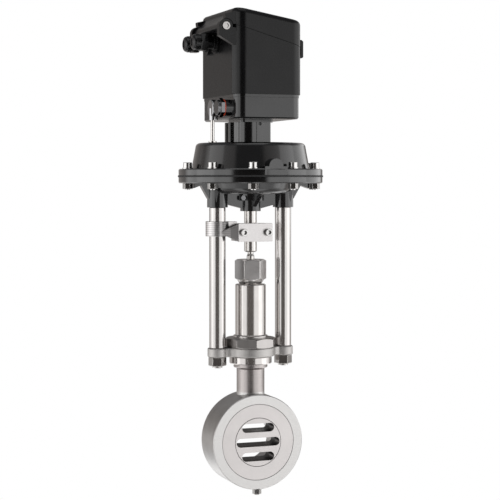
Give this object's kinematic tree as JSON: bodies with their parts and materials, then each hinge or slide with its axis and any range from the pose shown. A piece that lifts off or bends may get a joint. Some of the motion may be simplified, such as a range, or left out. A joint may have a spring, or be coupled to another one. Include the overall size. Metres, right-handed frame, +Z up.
{
  "type": "sliding gate valve",
  "caption": "Wafer valve with slotted sliding discs, a spring-return diaphragm actuator on two columns and a positioner with a hinged lid on top.",
  "frame": {"origin": "centre of the flow bore, where the stem axis crosses the pipe axis", "axes": "+Z up the stem to the positioner, +Y along the pipe out of the plain bore, -Y out of the slotted face, +X across the columns"},
  "size_m": [0.1692, 0.1692, 0.5562],
  "materials": {
    "body_steel": "satin, finely blasted",
    "insert_steel": "fine turned face",
    "disc_graphite": "pressed graphite, dull",
    "machined_steel": "turned, bright satin",
    "stem_steel": "ground and polished",
    "cast_steel": "blasted casting, satin",
    "satin_steel": "milled, bright satin",
    "column_steel": "drawn and polished bar",
    "fastener_steel": "bright",
    "nut_steel": "dark polished",
    "spring_steel": "drawn wire",
    "cast_black": "semi-gloss powder coat on a casting",
    "base_plastic": "moulded, semi-matt",
    "housing_plastic": "fine moulded grain",
    "gland_plastic": "smooth moulded",
    "fitting_metal": "dark plated",
    "plug_metal": "plated, polished",
    "ring_orange": "smooth",
    "seal_rubber": "matt",
    "packing_white": "sintered, waxy",
    "bush_bronze": "sintered bronze",
    "board_green": "solder mask",
    "board_fittings": "moulded"
  },
  "bodies": {
    "valve": {"air_pipe": "stem_steel", "air_plug": "plug_metal", "board_posts": "board_fittings", "bonnet": "machined_steel", "bonnet_gasket": "seal_rubber", "cable_glands": "gland_plastic", "circuit_board": "board_green", "column_nuts": "nut_steel", "diaphragm": "seal_rubber", "disc_spring": "spring_steel", "elbow_fitting": "fitting_metal", "fixed_disc": "insert_steel", "flange_nuts": "nut_steel", "flange_screws": "fastener_steel", "flange_washers": "fastener_steel", "gland_caps": "gland_plastic", "gland_nut": "satin_steel", "gland_plugs": "seal_rubber", "guide_bush": "bush_bronze", "hinge_screws": "fastener_steel", "insert_ring": "insert_steel", "left_column": "column_steel", "lock_nut": "machined_steel", "locking_screw": "fastener_steel", "lower_case": "cast_black", "neck_washer": "body_steel", "packing_rings": "packing_white", "packing_sleeve": "machined_steel", "packing_spring": "spring_steel", "pilot_valve": "board_fittings", "plug_ring": "ring_orange", "positioner_base": "base_plastic", "positioner_foot": "cast_black", "positioner_housing": "housing_plastic", "return_spring": "spring_steel", "right_column": "column_steel", "set_screw": "nut_steel", "stem_bushes": "bush_bronze", "stem_seal": "seal_rubber", "stem_wiper": "packing_white", "support_plate": "cast_black", "terminal_block": "board_fittings", "travel_sensor": "board_fittings", "upper_case": "cast_black", "valve_body": "body_steel", "vent_plug": "nut_steel", "yoke_plate": "cast_steel"},
    "stem": {"moving_disc": "disc_graphite", "disc_driver": "machined_steel", "valve_stem": "stem_steel", "actuator_stem": "stem_steel", "diaphragm_plate": "machined_steel", "diaphragm_nut": "fastener_steel", "guide_bracket": "satin_steel", "clamp_jaw": "satin_steel", "clamp_screws": "fastener_steel", "sensor_rod": "stem_steel"},
    "lid": {"positioner_lid": "housing_plastic", "lid_gasket": "seal_rubber", "lid_clip": "housing_plastic"}
  },
  "joints": [
    {"name": "stem_stroke", "type": "slide", "parent": "valve", "child": "stem", "axis": [0, 0, 1], "range_m": [-0.00828, 0], "stiffness_N_per_m": 30000, "springref_m": 0.02, "deforming": ["return_spring", "diaphragm"]},
    {"name": "lid_hinge", "type": "hinge", "parent": "valve", "child": "lid", "pos_m": [-0.0504, 0, 0.474], "axis": [0, -1, 0], "range_deg": [0, 105]}
  ]
}
